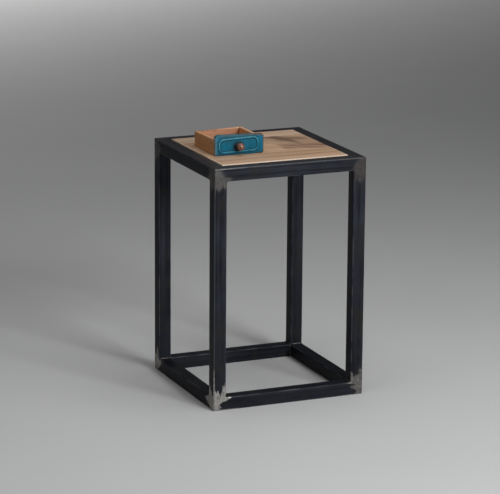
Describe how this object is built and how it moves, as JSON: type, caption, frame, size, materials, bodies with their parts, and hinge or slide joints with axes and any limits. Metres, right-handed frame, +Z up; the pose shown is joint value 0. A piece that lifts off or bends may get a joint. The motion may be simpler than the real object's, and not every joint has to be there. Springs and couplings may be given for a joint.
{
  "type": "side table with drawer",
  "caption": "Tall square side table: a welded blackened-steel tube frame with an inset wooden top, and a small painted drawer box resting loose on it.",
  "frame": {"origin": "on the floor, under the middle of the frame", "axes": "+Z up, -Y the front, where the loose drawer's knob points, +X to the right seen from the front"},
  "size_m": [0.365, 0.365, 0.5985],
  "materials": {
    "blackened_steel": "blackened bare steel under clear lacquer, satin, ground bright at the outer corners",
    "weld_metal": "unground weld bead with heat tint",
    "oiled_wood": "solid hardwood boards, oiled, straight grain from left to right with a dark heart streak",
    "zinc_screw": "zinc-plated screws",
    "drawer_paint": "old teal paint on wood, worn to dark wood at the edges",
    "drawer_wood": "old raw orange-brown softwood",
    "nail_steel": "old wire nails, darkened",
    "knob_wood": "turned hardwood ball, reddish brown, waxed"
  },
  "bodies": {
    "table": {"leg_front_left": "blackened_steel", "leg_front_right": "blackened_steel", "leg_back_left": "blackened_steel", "leg_back_right": "blackened_steel", "bottom_rail_front": "blackened_steel", "bottom_rail_right": "blackened_steel", "bottom_rail_back": "blackened_steel", "bottom_rail_left": "blackened_steel", "top_rail_front": "blackened_steel", "top_rail_right": "blackened_steel", "top_rail_back": "blackened_steel", "top_rail_left": "blackened_steel", "bottom_welds": "weld_metal", "top_welds": "weld_metal", "plate_front_left": "blackened_steel", "plate_front_right": "blackened_steel", "plate_back_left": "blackened_steel", "plate_back_right": "blackened_steel", "top_board_front": "oiled_wood", "top_board_middle": "oiled_wood", "top_board_back": "oiled_wood", "board_screws": "zinc_screw"},
    "drawer": {"drawer_front": "drawer_paint", "drawer_side_left": "drawer_wood", "drawer_side_right": "drawer_wood", "drawer_back": "drawer_wood", "drawer_bottom": "drawer_wood", "side_nails": "nail_steel", "bottom_nails": "nail_steel", "drawer_knob": "knob_wood", "knob_screw": "zinc_screw"}
  },
  "joints": [
    {"name": "drawer_lift", "type": "slide", "parent": "table", "child": "drawer", "axis": [0, 0, 1], "range_m": [0, 0.12]}
  ]
}
